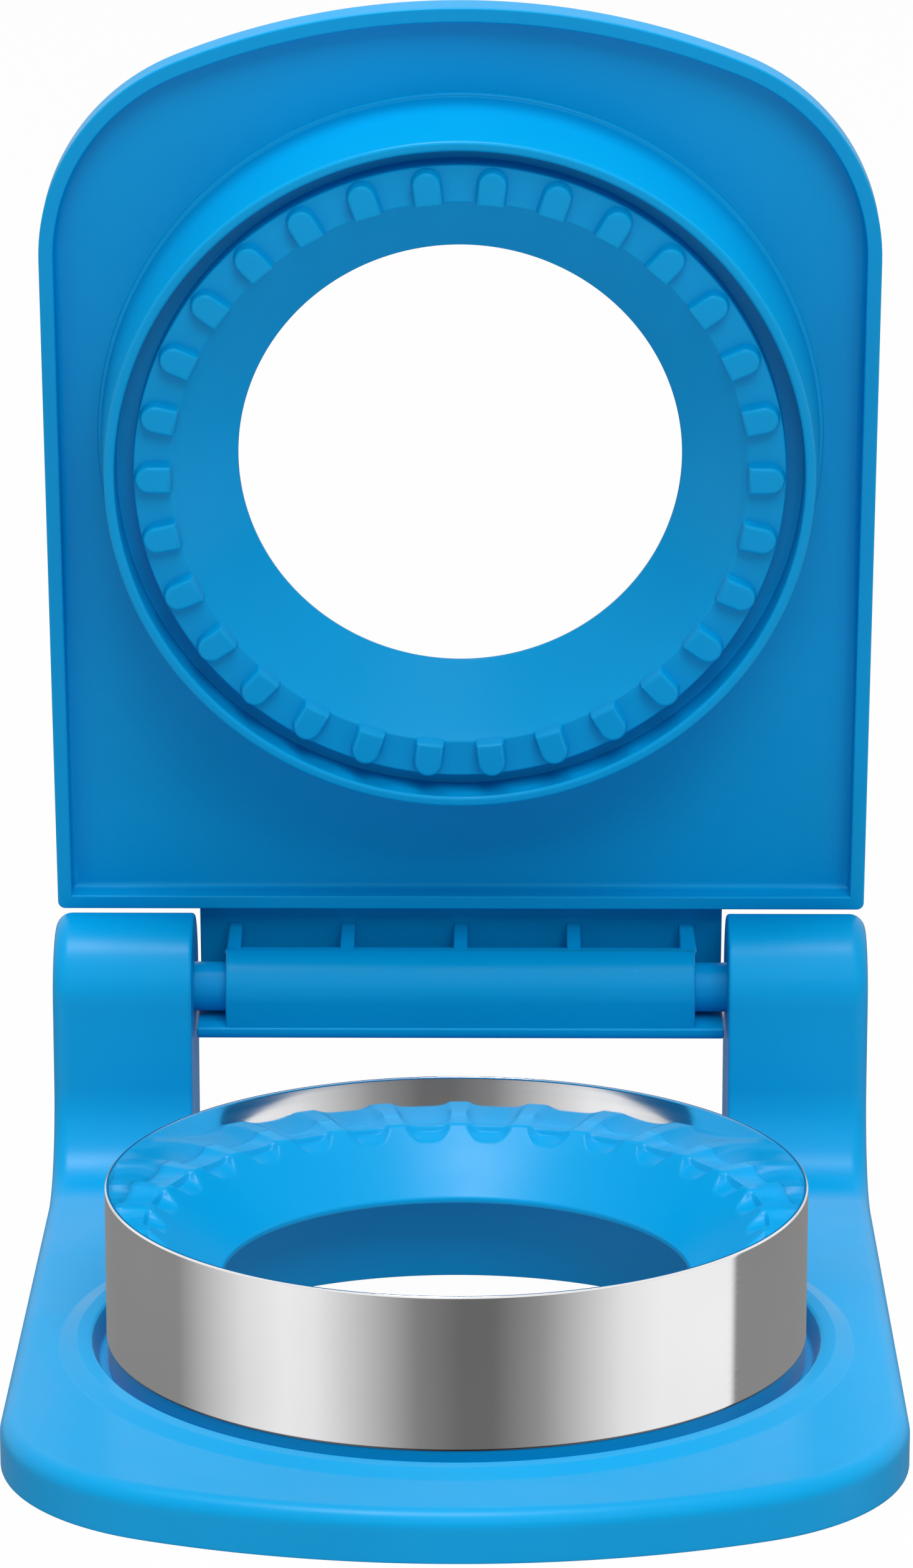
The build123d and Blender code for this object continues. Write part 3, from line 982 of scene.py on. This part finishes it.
def spread(tree, source, low, high):
    """Maps a noise value around its middle to a range."""
    return ranged(tree, source, (0.3, 0.7), (low, high))


def worked_out(tree, operation, *values):
    """Result of an arithmetic operation on numbers or sockets."""
    return add_node(tree, "Math", enumerate(values), operation=operation).outputs["Value"]


def shaded(tree, colour, amount):
    """One colour made lighter and darker by a value near 1."""
    return add_node(tree, "VectorMath", {0: colour, "Scale": amount}, operation="SCALE").outputs["Vector"]


def relief(tree, height, strength, distance):
    """Normal of a fine bump."""
    inputs = {"Strength": strength, "Distance": distance, "Height": height}
    return add_node(tree, "Bump", inputs).outputs["Normal"]


def mixed(tree, share, first, second):
    """Mix of two shaders: the first where the share is 0, the second where it is 1."""
    return add_node(tree, "MixShader", {0: share, 1: first, 2: second}).outputs["Shader"]


def background(tree, colour, strength=1.0):
    """Light from all around."""
    return add_node(tree, "Background", {"Color": colour, "Strength": strength}).outputs["Background"]


def finish(material, inputs):
    """Puts a principled shader with these inputs on the material's output."""
    shader = add_node(material.node_tree, "BsdfPrincipled", inputs)
    add_node(material.node_tree, "OutputMaterial", {"Surface": shader.outputs["BSDF"]})
    return material


def moulded_plastic(settings):
    """Satin blue plastic: faint flow clouds in the colour, uneven gloss and a very fine moulded grain."""
    found = bpy.data.materials.get("moulded_plastic")
    if found:
        return found
    material = bpy.data.materials.new("moulded_plastic")
    tree = empty_tree(material)
    place = add_node(tree, "TexCoord").outputs["Object"]
    clouds = noise(tree, place, scale=22.0, detail=3.0)
    gloss = noise(tree, place, scale=90.0, detail=4.0)
    grain = noise(tree, place, scale=1400.0, detail=2.0)
    inputs = {
        "Base Color": shaded(tree, settings.colour.plastic, spread(tree, clouds, 0.95, 1.05)),
        "Roughness": spread(tree, gloss, 0.30, 0.38),
        "Normal": relief(tree, grain, strength=0.06, distance=0.1 * mm),
        "IOR": 1.46,
        "Specular IOR Level": 0.2,
    }
    return finish(material, inputs)


def polished_steel(settings):
    """Mirror-polished steel with the faintest lines along the band, from noise squeezed in height."""
    material = bpy.data.materials.new("polished_steel")
    tree = empty_tree(material)
    place = add_node(tree, "TexCoord").outputs["Object"]
    squeezed = add_node(tree, "Mapping", {"Vector": place, "Scale": (0.25, 0.25, 60.0)}).outputs["Vector"]
    lines = noise(tree, squeezed, scale=60.0, detail=4.0)
    haze = noise(tree, place, scale=30.0, detail=2.0)
    inputs = {
        "Base Color": shaded(tree, settings.colour.steel, spread(tree, haze, 0.96, 1.04)),
        "Roughness": spread(tree, lines, 0.05, 0.09),
        "Normal": relief(tree, haze, strength=0.02, distance=0.02 * mm),
        "Metallic": 1.0,
    }
    return finish(material, inputs)


def azimuth_grey(tree, direction):
    """Grey level by direction: a dark flag ahead, a bright card on each side of it and a grey room behind.

    The angle from the front, positive to the right, is made a share of a turn with the front at a half,
    and runs through a colour ramp.
    """
    ahead = worked_out(tree, "MULTIPLY", direction["Y"], -1.0)
    angle = worked_out(tree, "ARCTAN2", direction["X"], ahead)
    share = worked_out(tree, "MULTIPLY_ADD", angle, 1 / (2 * pi), 0.5)
    ramp = add_node(tree, "ValToRGB", {"Fac": share})
    degrees_and_levels = (
        (-180, 0.26), (-102, 0.27), (-72, 0.82), (-57, 0.97), (-46, 0.92),
        (-27, 0.54), (-12, 0.24), (2, 0.15), (12, 0.15), (28, 0.31),
        (56, 0.86), (70, 0.97), (101, 0.95), (104, 0.26), (180, 0.26),
    )
    elements = ramp.color_ramp.elements
    for number, (degrees, level) in enumerate(degrees_and_levels):
        place = degrees / 360 + 0.5
        stop = elements[number] if number < 2 else elements.new(place)
        stop.position = place
        stop.color = (level, level, level, 1.0)
    return ramp.outputs["Color"]


def light_world():
    """White behind the object, an even fill on it, and in its reflections the studio.

    Reflections that go down meet the cards and the flag, as round the steel. Those that go up meet a dark
    room low in front, with a bright card above it, and the white backdrop behind.
    """
    world = bpy.data.worlds.new("studio")
    bpy.context.scene.world = world
    tree = empty_tree(world)
    ray = add_node(tree, "LightPath").outputs
    generated = add_node(tree, "TexCoord").outputs["Generated"]
    direction = add_node(tree, "SeparateXYZ", {"Vector": generated}).outputs
    white = (1.0, 1.0, 1.0, 1.0)
    pale = (0.8, 0.8, 0.8, 1.0)
    above_floor = ranged(tree, direction["Z"], (-0.45, -0.38), (0.15, 1.0))
    low = background(tree, azimuth_grey(tree, direction), above_floor)
    backdrop = ranged(tree, direction["Y"], (-0.3, 0.5), (0.05, 1.0))
    card = ranged(tree, direction["Z"], (0.1, 0.3), (0.05, 1.2))
    high = background(tree, pale, worked_out(tree, "MAXIMUM", backdrop, card))
    upward = ranged(tree, direction["Z"], (-0.12, 0.0), (0.0, 1.0))
    studio = mixed(tree, upward, low, high)
    fill = background(tree, white, strength=0.31)
    lit = mixed(tree, ray["Is Diffuse Ray"], studio, fill)
    seen = worked_out(tree, "MAXIMUM", ray["Is Camera Ray"], ray["Is Transmission Ray"])
    add_node(tree, "OutputWorld", {"Surface": mixed(tree, seen, lit, background(tree, white))})


def floor_material(settings):
    """White floor that keeps a faint shadow and gives back light from below, like a light table."""
    material = bpy.data.materials.new("studio_floor")
    tree = empty_tree(material)
    seen = add_node(tree, "LightPath").outputs["Is Camera Ray"]
    paint = add_node(tree, "BsdfDiffuse", {"Color": (*settings.colour.floor, 1.0)}).outputs["BSDF"]
    glow = add_node(tree, "Emission").outputs["Emission"]
    share = ranged(tree, seen, (0, 1), (0.3, 0.975))
    add_node(tree, "OutputMaterial", {"Surface": mixed(tree, share, paint, glow)})
    return material


def add_softbox(name, place, width, power, aim):
    """Square soft light that faces a point."""
    lamp = bpy.data.lights.new(name, "AREA")
    lamp.shape = "SQUARE"
    lamp.size = width
    lamp.energy = power
    box = bpy.data.objects.new(name, lamp)
    bpy.context.scene.collection.objects.link(box)
    x, y, z = np.array(aim) - np.array(place)
    box.rotation_euler = (atan2(np.hypot(x, y), -z), 0.0, atan2(-x, y))
    box.location = place
    return box


def add_camera():
    """Camera of the product view, a long lens a little above the object."""
    lens = bpy.data.cameras.new("product_view")
    lens.lens = 139.5
    lens.sensor_width = 36.0
    camera = bpy.data.objects.new("product_view", lens)
    bpy.context.scene.collection.objects.link(camera)
    aside, distance, rise = 5.44 * mm, 740.45 * mm, 244.78 * mm
    looks_down, turned_left = radians(14.56), radians(0.42)
    camera.location = (aside, cutter_y - distance, ring_top + rise)
    camera.rotation_euler = (pi / 2 - looks_down, 0.0, turned_left)
    bpy.context.scene.camera = camera


class PRESS_OT_base_plate(bpy.types.Operator):
    """Adds the base: its plate with the well, and the two hinge posts"""

    bl_idname = "press.base_plate"
    bl_label = "Base"
    bl_options = {"REGISTER", "UNDO"}

    def execute(self, context):
        settings = context.scene.press
        surfaces = [*base_plate_surfaces(settings), *post_surfaces(settings)]
        shell = add_plastic_piece(settings, "base_shell", surfaces, "press_base", "base")
        shell.visible_glossy = False
        return {"FINISHED"}


class PRESS_OT_lower_die(bpy.types.Operator):
    """Adds the lower die with its ring of crimp grooves"""

    bl_idname = "press.lower_die"
    bl_label = "Lower die"
    bl_options = {"REGISTER", "UNDO"}

    def execute(self, context):
        settings = context.scene.press
        body, node = "press_base", "lower_die"
        add_plastic_piece(settings, "crimp_die", crimp_face_surfaces(settings), body, node)
        add_plastic_piece(settings, "die_wall", die_wall_surfaces(settings), body, node)
        foot = add_plastic_piece(settings, "die_foot", die_foot_surfaces(settings), body, node)
        foot.visible_glossy = False
        return {"FINISHED"}


class PRESS_OT_steel_ring(bpy.types.Operator):
    """Adds the thin steel cutting ring"""

    bl_idname = "press.steel_ring"
    bl_label = "Steel ring"
    bl_options = {"REGISTER", "UNDO"}

    def execute(self, context):
        settings = context.scene.press
        steel = polished_steel(settings)
        add_piece("steel_band", ring_surfaces(settings), "press_base", ["cutter_ring"], steel)
        return {"FINISHED"}


class PRESS_OT_lid(bpy.types.Operator):
    """Adds the lid shell with its hinge bar"""

    bl_idname = "press.lid"
    bl_label = "Lid"
    bl_options = {"REGISTER", "UNDO"}

    def execute(self, context):
        settings = context.scene.press
        add_plastic_piece(settings, "lid_shell", lid_surfaces(settings), "press_lid", "lid")
        bar = add_plastic_piece(settings, "hinge_bar", hinge_bar_surfaces(settings), "press_lid", "lid")
        add_bevel(bar, 0.3 * mm)
        return {"FINISHED"}


class PRESS_OT_upper_die(bpy.types.Operator):
    """Adds the upper die with its ring of pads"""

    bl_idname = "press.upper_die"
    bl_label = "Upper die"
    bl_options = {"REGISTER", "UNDO"}

    def execute(self, context):
        settings = context.scene.press
        add_plastic_piece(settings, "padded_die", upper_die_surfaces(settings), "press_lid", "upper_die")
        add_plastic_piece(settings, "crimp_pads", pad_surfaces(settings), "press_lid", "upper_die")
        return {"FINISHED"}


class PRESS_OT_hinge_pins(bpy.types.Operator):
    """Adds the two pins that the lid turns on"""

    bl_idname = "press.hinge_pins"
    bl_label = "Hinge pins"
    bl_options = {"REGISTER", "UNDO"}

    def execute(self, context):
        settings = context.scene.press
        pins = ("hinge_pin_left", "hinge_pin_right")
        add_plastic_piece(settings, "hinge_pins", pin_surfaces(settings), "press_lid", *pins)
        return {"FINISHED"}


class PRESS_OT_stage(bpy.types.Operator):
    """Adds the floor, the lights and the camera"""

    bl_idname = "press.stage"
    bl_label = "Stage"
    bl_options = {"REGISTER", "UNDO"}

    def execute(self, context):
        settings = context.scene.press
        mesh = bpy.data.meshes.new("studio_floor")
        half_side = 4.0
        corners = half_side * np.array([(-1, -1, 0), (1, -1, 0), (1, 1, 0), (-1, 1, 0)])
        mesh.from_pydata(corners, [], [(0, 1, 2, 3)])
        floor = bpy.data.objects.new("studio_floor", mesh)
        context.scene.collection.objects.link(floor)
        mesh.materials.append(floor_material(settings))
        floor.visible_glossy = False
        light_world()
        aim = (0.0, 0.0, 0.05)
        add_softbox("top_light", place=(-0.16, -0.25, 2.2), width=0.68, power=27.0, aim=aim)
        front = add_softbox("front_light", place=(0.2, -0.95, 1.15), width=0.8, power=10.2, aim=aim)
        front.visible_glossy = False
        add_camera()
        context.scene.view_settings.view_transform = "Standard"
        return {"FINISHED"}


class PRESS_PT_panel(bpy.types.Panel):
    """Sizes, colours and pieces of the press"""

    bl_idname = "PRESS_PT_panel"
    bl_label = "Sandwich press"
    bl_space_type = "VIEW_3D"
    bl_region_type = "UI"
    bl_category = "Sandwich press"

    def draw(self, context):
        settings = context.scene.press
        for part in ("plate", "post", "die", "lid", "colour"):
            box = self.layout.box()
            group = getattr(settings, part)
            box.label(text=group.bl_rna.name)
            for key in group.__annotations__:
                box.prop(group, key)
        for operator in operators:
            self.layout.operator(operator.bl_idname)


operators = (
    PRESS_OT_base_plate,
    PRESS_OT_lower_die,
    PRESS_OT_steel_ring,
    PRESS_OT_lid,
    PRESS_OT_upper_die,
    PRESS_OT_hinge_pins,
    PRESS_OT_stage,
)
groups = (PlateSizes, PostSizes, DieSizes, LidSizes, FinishColours, PressSettings)


def register():
    """Makes the settings, the operators and the panel known."""
    for item in (*groups, *operators, PRESS_PT_panel):
        bpy.utils.register_class(item)
    bpy.types.Scene.press = PointerProperty(type=PressSettings)


def unregister():
    """Takes them away again."""
    del bpy.types.Scene.press
    for item in reversed((*groups, *operators, PRESS_PT_panel)):
        bpy.utils.unregister_class(item)


def main():
    """Builds every piece and the stage."""
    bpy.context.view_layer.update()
    register()
    bpy.ops.press.base_plate()
    bpy.ops.press.lower_die()
    bpy.ops.press.steel_ring()
    bpy.ops.press.lid()
    bpy.ops.press.upper_die()
    bpy.ops.press.hinge_pins()
    bpy.ops.press.stage()


if __name__ == "__main__":
    main()
